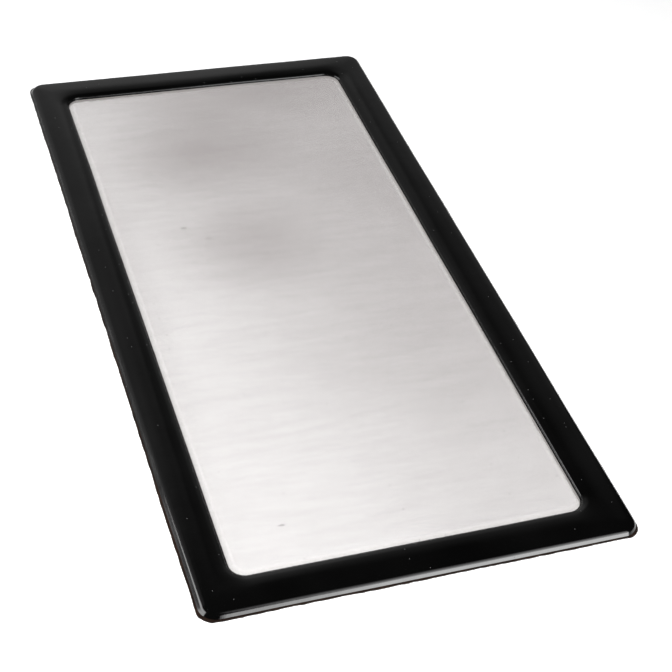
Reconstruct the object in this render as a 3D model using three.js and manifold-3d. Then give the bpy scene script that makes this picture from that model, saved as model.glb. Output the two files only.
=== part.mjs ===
// A page-sized sheet magnifier: a grooved lens sheet sealed in a soft, padded black border.
// Millimetres. X runs across the width, Y along the length, Z up; the origin is at the middle of the base.
import * as THREE from 'three';
import { mergeVertices } from 'three/addons/utils/BufferGeometryUtils.js';
import Module from 'manifold-3d';

// Driving dimensions
const WIDTH = 131.1;             // outer size, over the trimmed lip
const LENGTH = 257.1;
const HEIGHT = 2.4;              // table to the top of the border
const BORDER = 12.85;            // outer edge to the window
const OUTER_CORNER = 4.9;        // corner radius of the outer edge
const INNER_CORNER = 4.6;        // corner radius of the window

// Lower cover: a flat sheet ring whose trimmed outer edge stands out past the upper cover
const LOWER_THICKNESS = 0.3;
const LOWER_EDGE_RISE = 0.1;     // a trimmed edge is this far off the table
const LOWER_FLAT_START = 0.7;    // from the edge to where the back is flat

// Upper cover: a formed skin, open below
const SKIN = 0.4;
const WELD_LIP = 0.8;            // outer edge of the lower cover to the foot of the upper cover
const WALL_LEAN = 30;            // degrees that the straight part of the outer wall faces up
const WALL_LENGTH = 1.05;
const ROLL_END = 83;             // degrees from upright at which the outer roll runs into the crown
const OUTER_ROLL = 1.77;         // radius of the outer roll
const CREST_START = 6.8;         // from the outer edge to where the crown is level
const CREST_END = 7.55;          // and to where it starts to fall to the window
const SHOULDER = 11.05;          // from the outer edge to the window-side shoulder
const SHOULDER_SLOPE = 10;       // degrees
const INNER_ROLL_START = 12.06;  // from the outer edge to where the inner roll starts
const INNER_ROLL_SLOPE = 25;
const INNER_ROLL = 0.45;         // radius
const WINDOW_FOOT = 0.15;        // height of the thin foot that rests on the lens

// Lens sheet
const LENS_THICKNESS = 0.5;
const LENS_MARGIN = 6.3;         // held under the border, all round

// Adhesive strips under the lens margin
const TAPE_THICKNESS = 0.15;
const TAPE_INSET = 0.4;          // from the lens edge and from the window
const TAPE_WIDTH = LENS_MARGIN - 2 * TAPE_INSET;
const TAPE_CORNER_CLEAR = 3.6;   // the side strips stop this far short, clear of the lens's round corners

// Stiffening strips inside the border, mitred at the corners; a step takes the lens margin
const CORE_GAP = 0.3;            // to the skin, to the lens edge and between two strips
const CORE_OUTER = 2.0;          // from the outer edge to the strip
const CORE_SHOULDER = 0.8;       // height of the strip's outer side
const CORE_CROWN_START = 3;    // the top is sloped from the shoulder to here
const CORE_CROWN_HEIGHT = 1.35;
const CORE_INNER = 10.9;         // from the outer edge to the strip's inner side
const CORE_INNER_HEIGHT = 1.4;

// Smoothness
const CORNER_STEPS = 8;
const ROLL_STEPS = 6;
const CROWN_STEPS = 4;

const lensBottom = LOWER_THICKNESS + TAPE_THICKNESS;
const lensTop = lensBottom + LENS_THICKNESS;
const lensEdge = BORDER - LENS_MARGIN;
const sides = ['near', 'far', 'left', 'right'];

const colour = { black: 0x0b0b0c, flash: 0x2a201b, clear: 0xdedcdc, foam: 0xb9b6ae, tape: 0xd8c9a0 };

function material(name, roughness, opacity = 1) {
  return new THREE.MeshStandardMaterial({
    color: colour[name],
    roughness,
    metalness: 0,
    transparent: opacity < 1,
    opacity,
  });
}

// Corner radius of the line that runs round the border at a distance inset from the outer edge.
// It follows the outer corner near the outer edge and the window's corner near the window.
function cornerRadius(inset) {
  const outer = Math.max(OUTER_CORNER - inset, 0.6);
  const inner = INNER_CORNER + BORDER - inset;
  const share = THREE.MathUtils.smoothstep(inset, 0.2 * BORDER, 0.8 * BORDER);
  return THREE.MathUtils.lerp(outer, inner, share);
}

// Rounded rectangle round the origin, anticlockwise seen from above
function roundedRectangle(halfWidth, halfLength, radius, steps = CORNER_STEPS) {
  const points = [];
  for (let corner = 0; corner < 4; corner += 1) {
    const signX = corner === 0 || corner === 3 ? 1 : -1;
    const signY = corner < 2 ? 1 : -1;
    for (let step = 0; step <= steps; step += 1) {
      const angle = (corner + step / steps) * Math.PI / 2;
      const x = signX * (halfWidth - radius) + radius * Math.cos(angle);
      const y = signY * (halfLength - radius) + radius * Math.sin(angle);
      points.push(new THREE.Vector2(x, y));
    }
  }
  return points;
}

// Closed ring: each point of the section is [inset from the outer edge, height]
function ringGeometry(section) {
  const positions = [];
  const indices = [];
  for (const [inset, height] of section) {
    const line = roundedRectangle(WIDTH / 2 - inset, LENGTH / 2 - inset, cornerRadius(inset));
    line.forEach((point) => positions.push(point.x, point.y, height));
  }
  const around = 4 * (CORNER_STEPS + 1);
  for (let row = 0; row < section.length; row += 1) {
    const nextRow = (row + 1) % section.length;
    for (let column = 0; column < around; column += 1) {
      const nextColumn = (column + 1) % around;
      const a = row * around + column;
      const b = row * around + nextColumn;
      const c = nextRow * around + nextColumn;
      const d = nextRow * around + column;
      indices.push(a, b, c, a, c, d);
    }
  }
  const geometry = new THREE.BufferGeometry();
  geometry.setAttribute('position', new THREE.Float32BufferAttribute(positions, 3));
  geometry.setIndex(indices);
  geometry.computeVertexNormals();
  return geometry;
}

// Line of the upper cover from its outer foot, over the crown, to its inner wall.
// At offset 0 it is the outside; a larger offset gives the underside of the skin.
function coverLine(offset) {
  const points = [];
  const add = (inset, height, facing) => {
    points.push([inset + offset * Math.cos(facing), height - offset * Math.sin(facing)]);
  };
  const lean = THREE.MathUtils.degToRad(WALL_LEAN);
  const rollEnd = THREE.MathUtils.degToRad(ROLL_END);
  const wallTop = [
    WELD_LIP + WALL_LENGTH * Math.sin(lean),
    LOWER_THICKNESS + WALL_LENGTH * Math.cos(lean),
  ];
  for (let step = 0; step <= ROLL_STEPS; step += 1) {
    const facing = THREE.MathUtils.lerp(lean, rollEnd, step / ROLL_STEPS);
    add(
      wallTop[0] + OUTER_ROLL * (Math.cos(lean) - Math.cos(facing)),
      wallTop[1] + OUTER_ROLL * (Math.sin(facing) - Math.sin(lean)),
      facing,
    );
  }
  const crownStart = wallTop[0] + OUTER_ROLL * (Math.cos(lean) - Math.cos(rollEnd));
  const crownFoot = wallTop[1] + OUTER_ROLL * (Math.sin(rollEnd) - Math.sin(lean));
  for (let step = 1; step <= CROWN_STEPS; step += 1) {
    const part = step / CROWN_STEPS;
    const height = crownFoot + (HEIGHT - crownFoot) * (1 - (1 - part) ** 2);
    const facing = THREE.MathUtils.lerp(rollEnd, Math.PI / 2, part);
    add(THREE.MathUtils.lerp(crownStart, CREST_START, part), height, facing);
  }
  add(CREST_END, HEIGHT, Math.PI / 2);
  const shoulder = THREE.MathUtils.degToRad(SHOULDER_SLOPE);
  const innerRoll = THREE.MathUtils.degToRad(INNER_ROLL_SLOPE);
  const shoulderDrop = (SHOULDER - CREST_END) * Math.tan(shoulder) / 2;
  for (const part of [0.5, 1]) {
    const inset = THREE.MathUtils.lerp(CREST_END, SHOULDER, part);
    add(inset, HEIGHT - shoulderDrop * part ** 2, Math.PI / 2 + part * shoulder);
  }
  const fall = (INNER_ROLL_START - SHOULDER) * Math.tan((shoulder + innerRoll) / 2);
  const rollTop = HEIGHT - shoulderDrop - fall;
  for (let step = 0; step <= ROLL_STEPS; step += 1) {
    const slope = THREE.MathUtils.lerp(innerRoll, Math.PI / 2, step / ROLL_STEPS);
    add(
      INNER_ROLL_START + INNER_ROLL * (Math.sin(slope) - Math.sin(innerRoll)),
      rollTop - INNER_ROLL * (Math.cos(innerRoll) - Math.cos(slope)),
      Math.PI / 2 + slope,
    );
  }
  return points;
}

function upperCover() {
  const outside = coverLine(0);
  const inside = coverLine(SKIN).reverse();
  const innerWall = outside.at(-1)[0];
  return ringGeometry([
    [WELD_LIP, LOWER_THICKNESS],
    ...outside,
    [innerWall, lensTop + WINDOW_FOOT],
    [BORDER, lensTop + WINDOW_FOOT],
    [BORDER, lensTop],
    [innerWall - SKIN, lensTop],
    ...inside,
    [WELD_LIP + SKIN / Math.cos(THREE.MathUtils.degToRad(WALL_LEAN)), LOWER_THICKNESS],
  ]);
}

function lowerCover() {
  return ringGeometry([
    [0, LOWER_EDGE_RISE],
    [0, LOWER_THICKNESS],
    [BORDER, LOWER_THICKNESS],
    [BORDER, LOWER_EDGE_RISE],
    [BORDER - LOWER_FLAT_START, 0],
    [LOWER_FLAT_START, 0],
  ]);
}

function lensSheet() {
  const outline = roundedRectangle(WIDTH / 2 - lensEdge, LENGTH / 2 - lensEdge, cornerRadius(lensEdge));
  const geometry = new THREE.ExtrudeGeometry(new THREE.Shape(outline), {
    depth: LENS_THICKNESS,
    bevelEnabled: false,
  });
  geometry.translate(0, 0, lensBottom);
  return geometry;
}

// Four mitred strips: one ring with the strips' section, cut by a four-sided wedge for each side
function coreStrips(wasm) {
  const coreTop = HEIGHT - SKIN - CORE_GAP;
  const ring = solidOf(wasm, ringGeometry([
    [CORE_OUTER, LOWER_THICKNESS],
    [CORE_OUTER, CORE_SHOULDER],
    [CORE_CROWN_START, CORE_CROWN_HEIGHT],
    [CREST_START, coreTop],
    [CREST_END, coreTop],
    [CORE_INNER, CORE_INNER_HEIGHT],
    [CORE_INNER, lensTop],
    [lensEdge - CORE_GAP, lensTop],
    [lensEdge - CORE_GAP, LOWER_THICKNESS],
  ]));
  return sides.map((side) => geometryOf(ring.intersect(solidOf(wasm, mitreWedge(side)))));
}

// The quarter of the frame that belongs to one side, cut at 45 degrees from the corners
function mitreWedge(side) {
  const alongX = side === 'near' || side === 'far';
  const halfAlong = (alongX ? WIDTH : LENGTH) / 2;
  const halfAcross = (alongX ? LENGTH : WIDTH) / 2;
  const depth = CORE_INNER + 1;
  const cut = CORE_GAP / Math.SQRT2;
  const shape = new THREE.Shape([
    new THREE.Vector2(-halfAlong + cut, -halfAcross),
    new THREE.Vector2(halfAlong - cut, -halfAcross),
    new THREE.Vector2(halfAlong - cut - depth, -halfAcross + depth),
    new THREE.Vector2(-halfAlong + cut + depth, -halfAcross + depth),
  ]);
  const geometry = new THREE.ExtrudeGeometry(shape, { depth: 2 * HEIGHT, bevelEnabled: false });
  const turns = { near: 0, right: 1, far: 2, left: 3 };
  return geometry.rotateZ(turns[side] * Math.PI / 2);
}

// Flat adhesive strip between the lens margin and the lower cover, butted at the corners
function tapeStrip(side) {
  const alongX = side === 'near' || side === 'far';
  const middle = lensEdge + TAPE_INSET + TAPE_WIDTH / 2;
  const clear = alongX ? TAPE_WIDTH + CORE_GAP : TAPE_CORNER_CLEAR;
  const halfAlong = (alongX ? WIDTH : LENGTH) / 2 - lensEdge - TAPE_INSET - clear;
  const size = alongX ? [2 * halfAlong, TAPE_WIDTH] : [TAPE_WIDTH, 2 * halfAlong];
  const sign = side === 'near' || side === 'left' ? -1 : 1;
  const x = alongX ? 0 : sign * (WIDTH / 2 - middle);
  const y = alongX ? sign * (LENGTH / 2 - middle) : 0;
  const geometry = new THREE.BoxGeometry(...size, TAPE_THICKNESS);
  return geometry.translate(x, y, LOWER_THICKNESS + TAPE_THICKNESS / 2);
}

// A closed mesh as a solid that can be cut, and back again
function solidOf(wasm, geometry) {
  const bare = geometry.clone();
  bare.deleteAttribute('normal');
  bare.deleteAttribute('uv');
  const merged = mergeVertices(bare, 1e-5);
  return new wasm.Manifold(new wasm.Mesh({
    numProp: 3,
    vertProperties: new Float32Array(merged.getAttribute('position').array),
    triVerts: new Uint32Array(merged.getIndex().array),
  }));
}

function geometryOf(solid) {
  const mesh = solid.getMesh();
  const geometry = new THREE.BufferGeometry();
  geometry.setAttribute('position', new THREE.Float32BufferAttribute(mesh.vertProperties, 3));
  geometry.setIndex(new THREE.Uint32BufferAttribute(mesh.triVerts, 1));
  geometry.computeVertexNormals();
  return geometry;
}

function piece(name, geometry, finish) {
  const mesh = new THREE.Mesh(geometry, finish);
  mesh.name = name;
  return mesh;
}

const wasm = await Module();
wasm.setup();
const magnifier = new THREE.Group();
magnifier.add(piece('upper_cover', upperCover(), material('black', 0.18)));
magnifier.add(piece('lower_cover', lowerCover(), material('flash', 0.6)));
magnifier.add(piece('lens_sheet', lensSheet(), material('clear', 0.25, 0.35)));
coreStrips(wasm).forEach((geometry, index) => {
  magnifier.add(piece(`core_${sides[index]}`, geometry, material('foam', 0.9)));
});
for (const side of sides) {
  magnifier.add(piece(`lens_tape_${side}`, tapeStrip(side), material('tape', 0.5)));
}

export default magnifier;
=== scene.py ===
import math
import bmesh
import bpy
from mathutils import Matrix, Vector


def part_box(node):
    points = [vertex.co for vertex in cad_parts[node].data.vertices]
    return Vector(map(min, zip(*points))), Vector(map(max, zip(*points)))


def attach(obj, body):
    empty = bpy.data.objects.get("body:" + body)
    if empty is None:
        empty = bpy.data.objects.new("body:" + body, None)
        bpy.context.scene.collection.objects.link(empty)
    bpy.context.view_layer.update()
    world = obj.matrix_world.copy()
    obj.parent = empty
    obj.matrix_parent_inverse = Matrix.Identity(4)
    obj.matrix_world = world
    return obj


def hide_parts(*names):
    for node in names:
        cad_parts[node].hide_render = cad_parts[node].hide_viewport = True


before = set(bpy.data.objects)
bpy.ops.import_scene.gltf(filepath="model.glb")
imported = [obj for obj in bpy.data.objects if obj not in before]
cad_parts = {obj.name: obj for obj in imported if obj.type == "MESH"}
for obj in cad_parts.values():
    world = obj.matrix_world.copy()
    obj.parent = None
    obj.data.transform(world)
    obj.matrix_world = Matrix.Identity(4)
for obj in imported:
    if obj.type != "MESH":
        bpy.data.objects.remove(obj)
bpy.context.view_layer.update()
mm = 0.001


def deselectAll():
    if bpy.context.object and bpy.context.object.mode != "OBJECT":
        bpy.ops.object.mode_set(mode="OBJECT")
    bpy.ops.object.select_all(action="DESELECT")


def makeActive(piece):
    deselectAll()
    piece.select_set(True)
    bpy.context.view_layer.objects.active = piece


def editMode(piece, mode):
    makeActive(piece)
    bpy.ops.object.mode_set(mode="EDIT")
    bpy.ops.mesh.select_mode(type=mode)
    bpy.ops.mesh.select_all(action="DESELECT")


def objectMode():
    bpy.ops.object.mode_set(mode="OBJECT")


def pick(piece, kind, test):
    # selects the verts, edges or faces of the mesh in edit mode that pass the test
    shape = bmesh.from_edit_mesh(piece.data)
    for part in getattr(shape, kind):
        if test(part):
            part.select_set(True)
    shape.select_flush_mode()
    bmesh.update_edit_mesh(piece.data)


def applyModifiers(piece):
    makeActive(piece)
    for modifier in list(piece.modifiers):
        bpy.ops.object.modifier_apply(modifier=modifier.name)


def smoothShade(piece, angle):
    makeActive(piece)
    bpy.ops.object.shade_smooth_by_angle(angle=math.radians(angle))


stageLook = {
    "floorSize": 6.0,
    "floorColour": (0.86, 0.86, 0.86, 1),
    "floorRoughness": 0.9,
    "floorGloss": 0.1,
    "floorDrop": 0.05 * mm,
}

cameraPlace = {
    "location": (-0.13669, -0.35949, 0.32209),
    "target": (0.00539, -0.0289, 0.0),
    "roll": 7.386,               # degrees about the line of sight
    "lens": 81.14,
}

# soft panels painted on the studio's walls: where they start and end in degrees from +Y towards +X,
# how many degrees their sides fade over, and their brightness at each height in degrees
studioPanels = {
    "farLeft": (-50, 6, 8, ((0, 0.42), (32, 0.38), (36, 0.25), (42, 0.21), (47, 0.24), (53, 0))),
    "farMiddle": (6, 18.5, 8, ((0, 0.44), (30, 0.44), (34, 0.32), (39, 0.21), (44, 0.15), (54, 0))),
    "farRight": (18, 46, 8, ((0, 0.26), (29, 0.22), (35, 0.1), (42, 0.05), (50, 0))),
    "leftPanel": (-103, -50.5, 1.5, ((0, 0), (4, 1), (10, 6), (20, 7), (27, 4), (33, 0))),
    "frontLow": (143, 170, 4, ((0, 8), (8, 7), (13, 0))),
    "frontRight": (143, 165, 4, ((0, 4), (8, 4), (15, 5.2), (25, 3.4), (34, 2.2), (43, 1.3), (52, 0.6),
                                 (62, 0))),
}
wallLevel = 0.02                 # brightness of the bare walls
brightest = 10.0                 # the brightness that the ends of the ramps stand for

# lamps that light the part without showing in its gloss: place, size and watts
softLamps = {
    "topLight": ((0, 0, 1.6), 2.0, 20),
    "sideFill": ((-0.25, -0.2, 0.5), 0.3, 6),
}


def makeStage():
    bpy.ops.mesh.primitive_plane_add(size=stageLook["floorSize"], location=(0, 0, -stageLook["floorDrop"]))
    floor = bpy.context.object
    floor.name = "floor"
    surface = bpy.data.materials.new("paleFloor")
    surface.use_nodes = True
    shader = surface.node_tree.nodes["Principled BSDF"]
    shader.inputs["Base Color"].default_value = stageLook["floorColour"]
    shader.inputs["Roughness"].default_value = stageLook["floorRoughness"]
    shader.inputs["Specular IOR Level"].default_value = stageLook["floorGloss"]
    floor.data.materials.append(surface)
    bpy.context.scene.view_settings.view_transform = "Standard"


def makeCamera():
    camera = bpy.data.objects.new("camera", bpy.data.cameras.new("camera"))
    bpy.context.scene.collection.objects.link(camera)
    camera.data.lens = cameraPlace["lens"]
    camera.data.clip_start = 0.01
    place = Vector(cameraPlace["location"])
    sight = Vector(cameraPlace["target"]) - place
    turn = sight.to_track_quat("-Z", "Y").to_matrix().to_4x4()
    roll = Matrix.Rotation(math.radians(cameraPlace["roll"]), 4, "Z")
    camera.matrix_world = Matrix.Translation(place) @ turn @ roll
    bpy.context.scene.camera = camera


def makeStudioWalls():
    world = bpy.data.worlds.new("studio")
    bpy.context.scene.world = world
    world.use_nodes = True
    tree = world.node_tree
    direction = tree.nodes.new("ShaderNodeTexCoord").outputs["Generated"]
    split = tree.nodes.new("ShaderNodeSeparateXYZ")
    tree.links.new(direction, split.inputs[0])
    bearing = mathNode(tree, "ARCTAN2", split.outputs["X"], split.outputs["Y"])
    height = mathNode(tree, "ARCSINE", split.outputs["Z"])
    heightShare = mathNode(tree, "DIVIDE", height, math.pi / 2)
    level = wallLevel
    for fromSide, toSide, softness, heights in studioPanels.values():
        stops = [(degrees / 90, brightness / brightest) for degrees, brightness in heights]
        panel = mathNode(tree, "MULTIPLY", rampNode(tree, heightShare, stops), brightest)
        for side, first, last in ((fromSide, 0, 1), (toSide, 1, 0)):
            edge = (math.radians(side - softness / 2), math.radians(side + softness / 2))
            panel = mathNode(tree, "MULTIPLY", panel, smoothStep(tree, bearing, *edge, first, last))
        level = mathNode(tree, "ADD", panel, level)
    tree.links.new(level, tree.nodes["Background"].inputs["Strength"])
    tree.nodes["Background"].inputs["Color"].default_value = (1, 1, 1, 1)
    world.cycles_visibility.diffuse = False      # the walls show only in the gloss


def makeLamps():
    for name, (place, size, power) in softLamps.items():
        lamp = bpy.data.lights.new(name, "AREA")
        lamp.size = size
        lamp.energy = power
        holder = bpy.data.objects.new(name, lamp)
        bpy.context.scene.collection.objects.link(holder)
        holder.location = place
        holder.rotation_euler = (-Vector(place)).to_track_quat("-Z", "Y").to_euler()
        holder.visible_glossy = False


def newMaterial(name):
    surface = bpy.data.materials.new(name)
    surface.use_nodes = True
    tree = surface.node_tree
    shader = tree.nodes["Principled BSDF"]
    place = tree.nodes.new("ShaderNodeTexCoord").outputs["Object"]
    return surface, tree, shader, place


def noiseNode(tree, place, scale, detail, roughness=0.5):
    noise = tree.nodes.new("ShaderNodeTexNoise")
    noise.inputs["Scale"].default_value = scale
    noise.inputs["Detail"].default_value = detail
    noise.inputs["Roughness"].default_value = roughness
    tree.links.new(place, noise.inputs["Vector"])
    return noise.outputs["Fac"]


def rampNode(tree, value, stops):
    # stops: (place, grey or colour) pairs
    ramp = tree.nodes.new("ShaderNodeValToRGB")
    elements = ramp.color_ramp.elements
    while len(elements) < len(stops):
        elements.new(0.5)
    for element, (place, colour) in zip(elements, stops):
        element.position = place
        element.color = (colour, colour, colour, 1) if isinstance(colour, (int, float)) else (*colour, 1)
    tree.links.new(value, ramp.inputs["Fac"])
    return ramp.outputs["Color"]


def mathNode(tree, operation, first, second=None, third=None):
    node = tree.nodes.new("ShaderNodeMath")
    node.operation = operation
    for slot, value in enumerate((first, second, third)):
        if value is None:
            continue
        if isinstance(value, (int, float)):
            node.inputs[slot].default_value = value
        else:
            tree.links.new(value, node.inputs[slot])
    return node.outputs[0]


def smoothStep(tree, value, low, high, first=0, last=1):
    node = tree.nodes.new("ShaderNodeMapRange")
    node.interpolation_type = "SMOOTHSTEP"
    for name, number in (("From Min", low), ("From Max", high), ("To Min", first), ("To Max", last)):
        node.inputs[name].default_value = number
    tree.links.new(value, node.inputs["Value"])
    return node.outputs["Result"]


def moved(tree, place, offset=(0, 0, 0), turn=0, scale=(1, 1, 1)):
    mapping = tree.nodes.new("ShaderNodeMapping")
    mapping.inputs["Location"].default_value = offset
    mapping.inputs["Rotation"].default_value = (0, 0, math.radians(turn))
    mapping.inputs["Scale"].default_value = scale
    tree.links.new(place, mapping.inputs["Vector"])
    return mapping.outputs["Vector"]


def specks(tree, place, spacing, size, chance):
    # 1 inside small round specks, 0 outside; a stretched place gives fine scratches
    cells = tree.nodes.new("ShaderNodeTexVoronoi")
    cells.voronoi_dimensions = "2D"
    cells.inputs["Scale"].default_value = 1 / spacing
    tree.links.new(place, cells.inputs["Vector"])
    split = tree.nodes.new("ShaderNodeSeparateColor")
    tree.links.new(cells.outputs["Color"], split.inputs["Color"])
    inside = smoothStep(tree, cells.outputs["Distance"], 0.4 * size / spacing, size / spacing, 1, 0)
    chosen = mathNode(tree, "LESS_THAN", split.outputs["Red"], chance)
    return mathNode(tree, "MULTIPLY", inside, chosen)


def mixColours(tree, share, first, second):
    node = tree.nodes.new("ShaderNodeMix")
    node.data_type = "RGBA"
    for name, value in (("Factor", share), ("A", first), ("B", second)):
        socket = [one for one in node.inputs if one.name == name and one.enabled][0]
        if isinstance(value, tuple):
            socket.default_value = (*value, 1)
        else:
            tree.links.new(value, socket)
    return [one for one in node.outputs if one.enabled][0]


def bumpNode(tree, height, strength, distance, under=None):
    bump = tree.nodes.new("ShaderNodeBump")
    bump.inputs["Strength"].default_value = strength
    bump.inputs["Distance"].default_value = distance
    tree.links.new(height, bump.inputs["Height"])
    if under:
        tree.links.new(under, bump.inputs["Normal"])
    return bump.outputs["Normal"]


def patches(tree, place, scale, detail, first, second, low=0.3):
    # slow changes between two greys or two colours
    return rampNode(tree, noiseNode(tree, place, scale, detail), ((low, first), (0.7, second)))


backLow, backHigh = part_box("lower_cover")
coverLow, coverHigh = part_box("upper_cover")
lensLow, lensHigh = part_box("lens_sheet")

borderShape = {
    "width": 12.3 * mm,          # mean outer edge to the window
    "trimRoom": 0.55 * mm,       # room outside the mean edge for the waves and the hand-trimmed lip
    "outerCorner": 4.4 * mm,
    "windowCorner": 4.6 * mm,
}
halfWidth = backHigh.x - borderShape["trimRoom"]
halfLength = backHigh.y - borderShape["trimRoom"]
border = borderShape["width"]

borderWaves = {
    # slow waves of the hand-sealed border: direction, texture size and full swing
    "sideways": ("X", 55 * mm, 0.45 * mm),
    "endways": ("Y", 48 * mm, 0.45 * mm),
    "height": ("Z", 30 * mm, 0.2 * mm),
}


def roundedSheet(name, inset, radius, height, steps):
    # a flat rectangle with round corners, inset from the outer edge of the border
    deselectAll()
    bpy.ops.mesh.primitive_plane_add(size=1, location=(0, 0, height))
    sheet = bpy.context.object
    sheet.name = name
    sheet.scale = (2 * (halfWidth - inset), 2 * (halfLength - inset), 1)
    bpy.ops.object.transform_apply(location=True, rotation=True, scale=True)
    bpy.ops.object.mode_set(mode="EDIT")
    bpy.ops.mesh.select_all(action="SELECT")
    bpy.ops.mesh.bevel(offset=radius, offset_type="OFFSET", segments=steps, affect="VERTICES")
    bpy.ops.mesh.select_mode(type="FACE")
    bpy.ops.mesh.select_all(action="SELECT")
    return sheet


def insetAlong(section):
    # insets the selected face along a section of (inset, height) points, then takes the face away
    for (fromInset, fromHeight), (toInset, toHeight) in zip(section, section[1:]):
        bpy.ops.mesh.inset(thickness=toInset - fromInset, depth=toHeight - fromHeight,
                           use_even_offset=True)
    bpy.ops.mesh.delete(type="ONLY_FACE")
    objectMode()


def makeRing(name, outerSection, windowSection, outerCorner, windowCorner, steps, cuts):
    # two sets of insets, one at the outer edge and one at the window, with a bridge between them
    outer = roundedSheet(name, outerSection[0][0], outerCorner, outerSection[0][1], steps)
    insetAlong(outerSection)
    inner = roundedSheet(name + "Window", windowSection[0][0], windowCorner, windowSection[0][1], steps)
    insetAlong(windowSection)
    makeActive(outer)
    inner.select_set(True)
    bpy.ops.object.join()
    bridgeFrom = min(outerSection[-1][1], windowSection[0][1]) - 0.01 * mm
    editMode(outer, "EDGE")
    pick(outer, "edges", lambda edge: edge.is_boundary and edge.verts[0].co.z > bridgeFrom)
    bpy.ops.mesh.bridge_edge_loops(number_cuts=cuts, interpolation="LINEAR")
    objectMode()
    return outer


def cutLongEdges(piece, spacing):
    # the straight runs between the corners are one face long: cuts them into short ones
    for axis, half in ((0, halfWidth), (1, halfLength)):
        editMode(piece, "EDGE")
        pick(piece, "edges", lambda edge: abs(edge.verts[0].co[axis] - edge.verts[1].co[axis]) > half)
        bpy.ops.mesh.subdivide(number_cuts=round(2 * half / spacing))
        objectMode()


def weighByHeight(piece, name, low, high):
    group = piece.vertex_groups.new(name=name)
    for vertex in piece.data.vertices:
        share = (vertex.co.z - low) / (high - low)
        group.add([vertex.index], max(0.0, min(1.0, share)), "REPLACE")


def displace(piece, direction, size, swing, group):
    texture = bpy.data.textures.new(piece.name + direction, "CLOUDS")
    texture.noise_scale = size
    texture.noise_depth = 1
    waves = piece.modifiers.new("waves", "DISPLACE")
    waves.texture = texture
    waves.texture_coords = "LOCAL"
    waves.direction = direction
    waves.strength = swing
    waves.mid_level = 0.5
    waves.vertex_group = group


def addWaves(piece, names):
    for name in names:
        direction, size, swing = borderWaves[name]
        displace(piece, direction, size, swing, "raised" if direction == "Z" else "")


skinShape = {
    "thickness": 0.18 * mm,
    "slack": 0.1 * mm,           # room for the waves over the highest point
    "lip": 0.25 * mm,            # from the mean edge of the back to the foot of the skin
    "outerCorner": 4.8 * mm,     # of the foot
    "wallLean": 30,              # degrees that the straight wall faces up
    "wallLength": 0.95 * mm,
    "rollEnd": 83,               # the same where the outer roll runs into the crown
    "roll": 1.7 * mm,            # radius
    "crownCut": 3.2 * mm,        # the outer insets end here, on the way up to the crest
    "crestStart": 6.2 * mm,
    "crestEnd": 7.0 * mm,
    "windowCut": 9.0 * mm,       # the window's insets start here, on the way down from the crest
    "shoulder": 10.5 * mm,
    "shoulderSlope": 10,         # degrees
    "innerRollStart": 11.5 * mm,
    "innerRollSlope": 25,
    "innerRollEnd": 4,           # degrees that its foot still faces up
    "innerRoll": 0.55 * mm,      # radius
    "footHeight": 0.12 * mm,     # of the flange round the window, over the lens sheet
    "crossCuts": 7,              # edge loops in the crown, between the two sets of insets
    # the skin is laid by hand: how far its outer edge is moved along X and Y on each side
    "leftShift": 0.85 * mm,      # at the near end
    "farLeftShift": 0.3 * mm,
    "rightShift": 0.5 * mm,
    "nearShift": 0.1 * mm,
    "farShift": 0.4 * mm,
    "shiftEnd": 6.0 * mm,        # it fades to nothing this far from the edge
    "shiftHold": 1.6,            # the higher, the wider the band beside the edge that moves as one
    "leftFlare": 0.6 * mm,       # how far the foot of the left wall spreads
    "flareEnd": 2.0 * mm,        # the spread ends this far from the edge
    "windowShift": (-0.16 * mm, -0.12 * mm),
    "cornerSteps": 12,
    "spacing": 2.2 * mm,
}


def crestRise(inset, start):
    # a parabola from the roll's end up to the level crest
    top = coverHigh.z - skinShape["slack"]
    part = min(1, (inset - start[0]) / (skinShape["crestStart"] - start[0]))
    return start[1] + (top - start[1]) * (1 - (1 - part) ** 2)


def crestFall(inset):
    # a parabola from the crest down to the shoulder beside the window
    s = skinShape
    top = coverHigh.z - s["slack"]
    run = s["shoulder"] - s["crestEnd"]
    part = max(0, (inset - s["crestEnd"]) / run)
    return top - run * math.tan(math.radians(s["shoulderSlope"])) / 2 * part ** 2


def rollPoints(start, radius, fromFacing, toFacing, steps, inward):
    # an arc of the section; facing is the angle between the surface's normal and the horizon
    points = []
    for step in range(1, steps + 1):
        facing = math.radians(fromFacing + (toFacing - fromFacing) * step / steps)
        first = math.radians(fromFacing)
        points.append((start[0] + inward * radius * (math.cos(first) - math.cos(facing)),
                       start[1] + radius * (math.sin(facing) - math.sin(first))))
    return points


def outerSection():
    s = skinShape
    lean = math.radians(s["wallLean"])
    section = [(s["lip"], backHigh.z)]
    for step in (1, 2, 3, 4):
        along = s["wallLength"] * step / 4
        section.append((s["lip"] + along * math.sin(lean), backHigh.z + along * math.cos(lean)))
    section += rollPoints(section[-1], s["roll"], s["wallLean"], s["rollEnd"], 9, 1)
    rollEnd = section[-1]
    for step in (1, 2):
        inset = rollEnd[0] + (s["crownCut"] - rollEnd[0]) * step / 2
        section.append((inset, crestRise(inset, rollEnd)))
    return section, rollEnd


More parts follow.
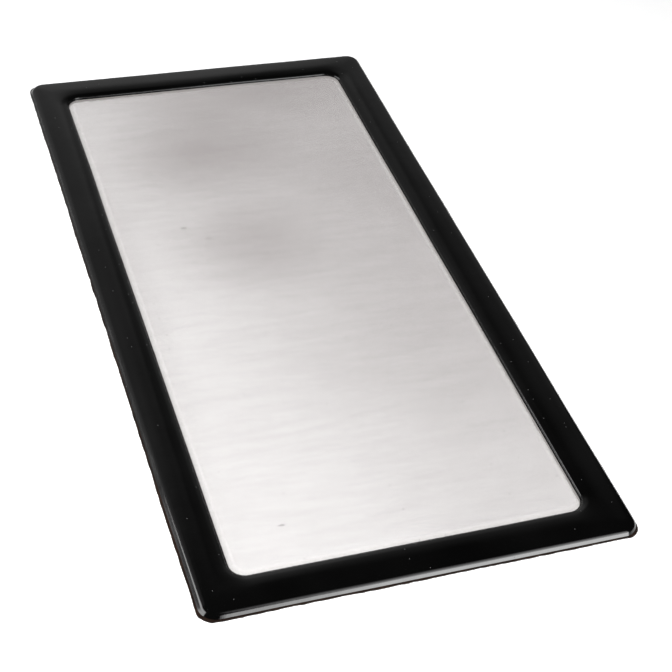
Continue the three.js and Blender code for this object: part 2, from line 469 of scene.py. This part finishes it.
def windowSection():
    s = skinShape
    section = []
    for step in range(4):
        inset = s["windowCut"] + (s["shoulder"] - s["windowCut"]) * step / 3
        section.append((inset, crestFall(inset)))
    slope = math.tan(math.radians((s["shoulderSlope"] + s["innerRollSlope"]) / 2))
    for step in (1, 2, 3):
        run = (s["innerRollStart"] - s["shoulder"]) * step / 3
        section.append((s["shoulder"] + run, crestFall(s["shoulder"]) - run * slope))
    section += rollPoints(section[-1], s["innerRoll"], 90 - s["innerRollSlope"], s["innerRollEnd"], 6, -1)
    # the last points turn out of the wall into the flange, which ends on the lens sheet
    foot = lensHigh.z + s["footHeight"]
    wall = section[-1]
    section.append((wall[0] + 0.02 * mm, foot + 0.1 * mm))
    section.append((wall[0] + 0.1 * mm, foot))
    section.append((border - 0.04 * mm, foot - 0.03 * mm))
    section.append((border, lensHigh.z))
    return section


def insideBy(place, inset, corner):
    # how far a place lies inside the round-cornered outline at an inset from the mean edge
    across = abs(place.x) - (halfWidth - inset - corner)
    along = abs(place.y) - (halfLength - inset - corner)
    beyond = math.hypot(max(across, 0), max(along, 0))
    return corner - beyond - min(max(across, along), 0)


def roundTheCrest(skin, rollEnd):
    # the bridge between the two sets of insets is straight: gives it the crest's curve
    s = skinShape
    outerCorner = s["outerCorner"] + s["lip"] - s["crownCut"]
    windowCorner = borderShape["windowCorner"] + border - s["windowCut"]
    for vertex in skin.data.vertices:
        fromOuter = insideBy(vertex.co, s["crownCut"], outerCorner)
        fromWindow = -insideBy(vertex.co, s["windowCut"], windowCorner)
        if fromOuter > 0.05 * mm and fromWindow > 0.05 * mm:
            share = fromOuter / (fromOuter + fromWindow)
            inset = s["crownCut"] + (s["windowCut"] - s["crownCut"]) * share
            vertex.co.z = crestRise(inset, rollEnd) if inset < s["crestStart"] else crestFall(inset)


def shiftEdges(skin):
    # moves the outer edge and the window a little to one side, and spreads the foot of the left wall
    s = skinShape
    for vertex in skin.data.vertices:
        inset = insideBy(vertex.co, 0, s["outerCorner"])
        rightward = 0.5 + vertex.co.x / (2 * halfWidth)
        farward = 0.5 + vertex.co.y / (2 * halfLength)
        weight = min(1, s["shiftHold"] * max(0, 1 - inset / s["shiftEnd"])) ** 2
        windowWeight = min(1, max(0, (inset - s["shiftEnd"]) / (s["shoulder"] - s["shiftEnd"])))
        flare = s["leftFlare"] * max(0, 1 - inset / s["flareEnd"]) ** 2 * (1 - rightward) ** 4
        left = s["leftShift"] + (s["farLeftShift"] - s["leftShift"]) * farward
        sideways = left + (s["rightShift"] - left) * rightward
        endways = s["nearShift"] + (s["farShift"] - s["nearShift"]) * farward
        vertex.co.x += weight * sideways + windowWeight * s["windowShift"][0] - flare
        vertex.co.y += weight * endways + windowWeight * s["windowShift"][1]


def makeSkin():
    s = skinShape
    outer, rollEnd = outerSection()
    skin = makeRing("coverSkin", outer, windowSection(), s["outerCorner"],
                    borderShape["windowCorner"] + border - s["windowCut"], s["cornerSteps"], s["crossCuts"])
    roundTheCrest(skin, rollEnd)
    shiftEdges(skin)
    cutLongEdges(skin, s["spacing"])
    weighByHeight(skin, "raised", backHigh.z, coverHigh.z)
    addWaves(skin, ("sideways", "endways", "height"))
    shell = skin.modifiers.new("shell", "SOLIDIFY")
    shell.thickness = s["thickness"]
    shell.offset = -1
    applyModifiers(skin)
    smoothShade(skin, 50)
    skin.data.materials.append(glossVinyl())
    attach(skin, "root")
    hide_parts("upper_cover")


backShape = {
    "windowLip": 0.05 * mm,      # its window is this much smaller than the skin's on each side
    # how much wider than the mean edge it is trimmed on each side
    "trimLeft": 0.1 * mm,
    "trimRight": 0.25 * mm,
    "trimNear": 0.28 * mm,
    "trimFar": 0.25 * mm,
    "ragged": ((3 * mm, 0.5 * mm), (9 * mm, 0.2 * mm)),      # texture size and full swing
    "crossCuts": 6,
    "cornerSteps": 14,
    "spacing": 0.8 * mm,
}


def makeBack():
    b = backShape
    top = backHigh.z
    back = roundedSheet("backSheet", 0, borderShape["outerCorner"], top, b["cornerSteps"])
    bpy.ops.mesh.delete(type="ONLY_FACE")
    objectMode()
    for vertex in back.data.vertices:
        vertex.co.x += b["trimRight"] if vertex.co.x > 0 else -b["trimLeft"]
        vertex.co.y += b["trimFar"] if vertex.co.y > 0 else -b["trimNear"]
    windowCorner = borderShape["windowCorner"] - b["windowLip"]
    window = roundedSheet("backWindow", border + b["windowLip"], windowCorner, top, b["cornerSteps"])
    bpy.ops.mesh.delete(type="ONLY_FACE")
    objectMode()
    for vertex in window.data.vertices:
        vertex.co.x += skinShape["windowShift"][0]
        vertex.co.y += skinShape["windowShift"][1]
    makeActive(back)
    window.select_set(True)
    bpy.ops.object.join()
    editMode(back, "EDGE")
    bpy.ops.mesh.select_all(action="SELECT")
    bpy.ops.mesh.bridge_edge_loops(number_cuts=b["crossCuts"], interpolation="LINEAR")
    bpy.ops.mesh.select_all(action="SELECT")
    bpy.ops.mesh.normals_make_consistent(inside=False)
    objectMode()
    if back.data.polygons[0].normal.z < 0:
        back.data.flip_normals()
    cutLongEdges(back, b["spacing"])
    editMode(back, "VERT")
    pick(back, "verts", lambda vertex: vertex.is_boundary)
    objectMode()
    trimmed = back.vertex_groups.new(name="trimmedEdge")
    trimmed.add([vertex.index for vertex in back.data.vertices if vertex.select], 1.0, "REPLACE")
    addWaves(back, ("sideways", "endways"))
    for size, swing in b["ragged"]:
        displace(back, "X", size, swing, "trimmedEdge")
        displace(back, "Y", size, swing, "trimmedEdge")
    sheet = back.modifiers.new("sheet", "SOLIDIFY")
    sheet.thickness = top - backLow.z
    sheet.offset = -1
    applyModifiers(back)
    smoothShade(back, 30)
    back.data.materials.append(backVinyl())
    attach(back, "root")
    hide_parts("lower_cover")


lensShape = {
    "pitch": 0.9 * mm,
    "depth": 0.05 * mm,
    "slopeShare": 0.96,          # how much of the pitch a groove's slope takes up
    "trim": 0.02 * mm,           # off each side
    "turnSteps": 160,
}


def makeLens():
    s = lensShape
    deselectAll()
    bpy.ops.mesh.primitive_plane_add(size=s["pitch"], location=(0, 0, lensLow.z))
    lens = bpy.context.object
    lens.name = "lensSheet"
    bpy.ops.object.transform_apply(location=True)
    editMode(lens, "VERT")
    pick(lens, "verts", lambda vertex: vertex.co.x < 0 and vertex.co.y > 0)
    bpy.ops.mesh.delete(type="VERT")
    objectMode()
    # three points of one groove: its start, the top of its slope and the foot of its riser
    groove = [(0, 0), (s["slopeShare"] * s["pitch"], s["depth"]), (s["pitch"], 0)]
    order = sorted(lens.data.vertices, key=lambda vertex: (vertex.co.x, vertex.co.y))
    order = [order[0]] + sorted(order[1:], key=lambda vertex: vertex.co.y)
    for vertex, (out, up) in zip(order, groove):
        vertex.co = (out, 0, lensLow.z + up)
    reach = math.hypot(lensHigh.x, lensHigh.y)
    row = lens.modifiers.new("row", "ARRAY")
    row.count = math.ceil(reach / s["pitch"]) + 1
    row.use_relative_offset = False
    row.use_constant_offset = True
    row.constant_offset_displace = (s["pitch"], 0, 0)
    row.use_merge_vertices = True
    row.merge_threshold = 0.01 * mm
    spin = lens.modifiers.new("spin", "SCREW")
    spin.steps = spin.render_steps = s["turnSteps"]
    spin.use_merge_vertices = True
    applyModifiers(lens)
    editMode(lens, "VERT")
    trim = s["trim"]
    for place, facing in (((lensHigh.x - trim, 0, 0), (1, 0, 0)), ((lensLow.x + trim, 0, 0), (-1, 0, 0)),
                          ((0, lensHigh.y - trim, 0), (0, 1, 0)), ((0, lensLow.y + trim, 0), (0, -1, 0))):
        bpy.ops.mesh.select_all(action="SELECT")
        bpy.ops.mesh.bisect(plane_co=place, plane_no=facing, clear_outer=True, use_fill=False)
    bpy.ops.mesh.select_all(action="DESELECT")
    bpy.ops.mesh.select_mode(type="EDGE")
    pick(lens, "edges", lambda edge: edge.is_boundary)
    bpy.ops.mesh.extrude_region_move(TRANSFORM_OT_translate={"value": (0, 0, lensHigh.z - lensLow.z)})
    objectMode()
    for vertex in lens.data.vertices:
        if vertex.select:
            vertex.co.z = lensHigh.z
    editMode(lens, "EDGE")
    pick(lens, "edges", lambda edge: edge.is_boundary)
    bpy.ops.mesh.edge_face_add()
    bpy.ops.mesh.select_all(action="SELECT")
    bpy.ops.mesh.normals_make_consistent(inside=False)
    objectMode()
    smoothShade(lens, 2)
    lens.data.materials.append(clearPlastic())
    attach(lens, "root")
    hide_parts("lens_sheet")


vinylLook = {
    "black": (0.0006, 0.0014),
    "toneScale": 40,
    "roughness": (0.09, 0.16),
    "roughnessScale": 90,
    "dust": (5 * mm, 0.14 * mm, 0.15),       # spacing, size and how many of the places hold one
    "dustGrey": (0.12, 0.12, 0.12),
    "dustRoughness": 0.7,
    # noise scale, strength and depth
    "ripples": (160, 0.25, 0.12 * mm),
    "dimples": (900, 0.12, 0.02 * mm),
}


def glossVinyl():
    look = vinylLook
    surface, tree, shader, place = newMaterial("glossVinyl")
    tone = patches(tree, place, look["toneScale"], 2, *look["black"])
    dust = specks(tree, place, *look["dust"])
    tree.links.new(mixColours(tree, dust, tone, look["dustGrey"]), shader.inputs["Base Color"])
    rough = patches(tree, place, look["roughnessScale"], 4, *look["roughness"], low=0.35)
    dustRough = mathNode(tree, "MULTIPLY", dust, look["dustRoughness"])
    tree.links.new(mathNode(tree, "MAXIMUM", rough, dustRough), shader.inputs["Roughness"])
    shader.inputs["IOR"].default_value = 1.5
    normal = None
    for scale, strength, depth in (look["ripples"], look["dimples"]):
        normal = bumpNode(tree, noiseNode(tree, place, scale, 2), strength, depth, normal)
    tree.links.new(normal, shader.inputs["Normal"])
    return surface


backLook = {
    # the trimmed edge: from the darkest to the palest brown
    "brown": (0.012, 0.0065, 0.0045),
    "darker": 0.5,
    "paler": 1.6,
    "toneScale": 300,
    "roughness": (0.25, 0.4),
    "roughnessScale": 500,
    "grain": (1800, 0.35, 0.05 * mm),        # noise scale, strength and depth
}


def backVinyl():
    look = backLook
    surface, tree, shader, place = newMaterial("backVinyl")
    paler = tuple(look["paler"] * part for part in look["brown"])
    darker = tuple(look["darker"] * part for part in look["brown"])
    stops = ((0.3, darker), (0.55, look["brown"]), (0.75, paler))
    tone = rampNode(tree, noiseNode(tree, place, look["toneScale"], 4), stops)
    tree.links.new(tone, shader.inputs["Base Color"])
    rough = patches(tree, place, look["roughnessScale"], 3, *look["roughness"])
    tree.links.new(rough, shader.inputs["Roughness"])
    scale, strength, depth = look["grain"]
    grain = bumpNode(tree, noiseNode(tree, place, scale, 3), strength, depth)
    tree.links.new(grain, shader.inputs["Normal"])
    return surface


lensLook = {
    "opacity": 0.24,             # of each face of the sheet
    # how far its haze varies, and over what noise scale
    "clouds": 0.01,
    "cloudScale": 16,
    "streaks": 0.009,
    "streakScale": 420,
    "streakStretch": 0.12,       # the smaller, the longer they run across the sheet
    "dark": (0.25, 0.225, 0.22),
    "pale": (0.3, 0.275, 0.27),
    "toneScale": 30,
    "sealTone": (0.4, 0.38, 0.37),
    "roughness": (0.3, 0.42),
    "roughnessScale": 25,
    # painted shade: soft patches of thicker haze that darken the sheet towards the far right and in two
    # blotches, standing for the fall of the light and for dim reflections: place and half sizes in
    # millimetres, and how much thicker
    "smudges": (((40, 130), (150, 250), 0.115), ((50, -40), (90, 160), 0.07), ((20, 114), (70, 30), 0.06),
                ((-13, 76), (44, 38), 0.1), ((-10, 22), (36, 36), 0.09), ((-58, -5), (18, 125), 0.05)),
    # dust and hair scratches: spacing, size and how many of the places hold one
    "dust": (8 * mm, 0.17 * mm, 0.25),
    "scratches": (5 * mm, 0.12 * mm, 0.06),
    "scratchTurn": -4,           # degrees
    "scratchStretch": 0.08,
    "markColour": (0.06, 0.055, 0.05),
    "markHaze": 0.5,
    # the frosted band round the window where the sheet is sealed to the border; its paler, thicker haze is
    # also painted light that covers the border's shadow seen through the sheet
    "sealWidth": 2.5 * mm,
    "sealHaze": 0.1,
}


def insideNode(tree, place, halfX, halfY, corner):
    # how far a place lies inside a round-cornered rectangle, as a value in the material
    split = tree.nodes.new("ShaderNodeSeparateXYZ")
    tree.links.new(place, split.inputs[0])
    across = mathNode(tree, "SUBTRACT", mathNode(tree, "ABSOLUTE", split.outputs["X"]), halfX - corner)
    along = mathNode(tree, "SUBTRACT", mathNode(tree, "ABSOLUTE", split.outputs["Y"]), halfY - corner)
    acrossOut = mathNode(tree, "MAXIMUM", across, 0)
    alongOut = mathNode(tree, "MAXIMUM", along, 0)
    acrossSquare = mathNode(tree, "MULTIPLY", acrossOut, acrossOut)
    square = mathNode(tree, "MULTIPLY_ADD", alongOut, alongOut, acrossSquare)
    within = mathNode(tree, "MINIMUM", mathNode(tree, "MAXIMUM", across, along), 0)
    beyond = mathNode(tree, "ADD", mathNode(tree, "SQRT", square), within)
    return mathNode(tree, "SUBTRACT", corner, beyond)


def hazeOf(tree, place):
    # how opaque the lens sheet is, with its patches of painted shade, apart from its marks and the seal
    # band with its painted light
    look = lensLook
    cloudNoise = noiseNode(tree, place, look["cloudScale"], 3)
    clouds = smoothStep(tree, cloudNoise, 0.3, 0.7, -look["clouds"], look["clouds"])
    stretched = moved(tree, place, scale=(look["streakStretch"], 1, 1))
    streakNoise = noiseNode(tree, stretched, look["streakScale"], 3, 0.6)
    streaks = smoothStep(tree, streakNoise, 0.3, 0.7, -look["streaks"], look["streaks"])
    haze = mathNode(tree, "ADD", mathNode(tree, "ADD", clouds, streaks), look["opacity"])
    # painted shade: each patch thickens the haze, darkening the sheet where the light falls off
    for (middleX, middleY), (halfX, halfY), thicker in look["smudges"]:
        scale = (1 / (halfX * mm), 1 / (halfY * mm), 0)
        offset = (-middleX / halfX, -middleY / halfY, 0)
        patch = tree.nodes.new("ShaderNodeTexGradient")
        patch.gradient_type = "SPHERICAL"
        tree.links.new(moved(tree, place, offset, 0, scale), patch.inputs["Vector"])
        haze = mathNode(tree, "ADD", haze, smoothStep(tree, patch.outputs["Fac"], 0, 1, 0, thicker))
    return haze


def clearPlastic():
    look = lensLook
    surface, tree, shader, place = newMaterial("clearPlastic")
    dust = specks(tree, place, *look["dust"])
    stretched = moved(tree, place, turn=look["scratchTurn"], scale=(look["scratchStretch"], 1, 1))
    marks = mathNode(tree, "MAXIMUM", dust, specks(tree, stretched, *look["scratches"]))
    inside = insideNode(tree, place, halfWidth - border, halfLength - border, borderShape["windowCorner"])
    # painted light: the seal band's paler, thicker haze also hides the border's shadow on the floor beneath
    sealAndPaintedLight = smoothStep(tree, inside, 0, look["sealWidth"], look["sealHaze"], 0)
    thickest = mathNode(tree, "MAXIMUM", sealAndPaintedLight, mathNode(tree, "MULTIPLY", marks, look["markHaze"]))
    tree.links.new(mathNode(tree, "ADD", hazeOf(tree, place), thickest), shader.inputs["Alpha"])
    tone = patches(tree, place, look["toneScale"], 3, look["dark"], look["pale"])
    sealAndPaintedLightShare = smoothStep(tree, sealAndPaintedLight, 0, 0.3 * look["sealHaze"])
    tone = mixColours(tree, sealAndPaintedLightShare, tone, look["sealTone"])
    tree.links.new(mixColours(tree, marks, tone, look["markColour"]), shader.inputs["Base Color"])
    rough = patches(tree, place, look["roughnessScale"], 3, *look["roughness"])
    tree.links.new(rough, shader.inputs["Roughness"])
    return surface


foamLook = {
    "dark": (0.42, 0.41, 0.37),
    "pale": (0.58, 0.57, 0.52),
    "toneScale": 900,
    "roughness": 0.9,
    "grain": (2500, 0.5, 0.05 * mm),         # noise scale, strength and depth
}


def foamBoard():
    look = foamLook
    surface, tree, shader, place = newMaterial("foamBoard")
    tone = patches(tree, place, look["toneScale"], 4, look["dark"], look["pale"])
    tree.links.new(tone, shader.inputs["Base Color"])
    shader.inputs["Roughness"].default_value = look["roughness"]
    scale, strength, depth = look["grain"]
    grain = bumpNode(tree, noiseNode(tree, place, scale, 2), strength, depth)
    tree.links.new(grain, shader.inputs["Normal"])
    return surface


tapeLook = {
    "dark": (0.58, 0.49, 0.3),
    "pale": (0.72, 0.63, 0.43),
    "toneScale": 400,
    "roughness": (0.35, 0.6),
    "roughnessScale": 700,
}


def stickyTape():
    look = tapeLook
    surface, tree, shader, place = newMaterial("stickyTape")
    tone = patches(tree, place, look["toneScale"], 3, look["dark"], look["pale"])
    tree.links.new(tone, shader.inputs["Base Color"])
    rough = patches(tree, place, look["roughnessScale"], 2, *look["roughness"])
    tree.links.new(rough, shader.inputs["Roughness"])
    return surface


def finishHiddenPieces():
    foam, tape = foamBoard(), stickyTape()
    for name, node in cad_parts.items():
        if name.startswith("core_"):
            node.material_slots[0].material = foam
        if name.startswith("lens_tape_"):
            node.material_slots[0].material = tape


makeCamera()
makeStage()
makeStudioWalls()
makeLamps()
print("stage, camera and lights ready")
makeSkin()
print("cover skin ready")
makeBack()
print("back sheet ready")
makeLens()
print("lens sheet ready")
finishHiddenPieces()
print("core and tape finished")
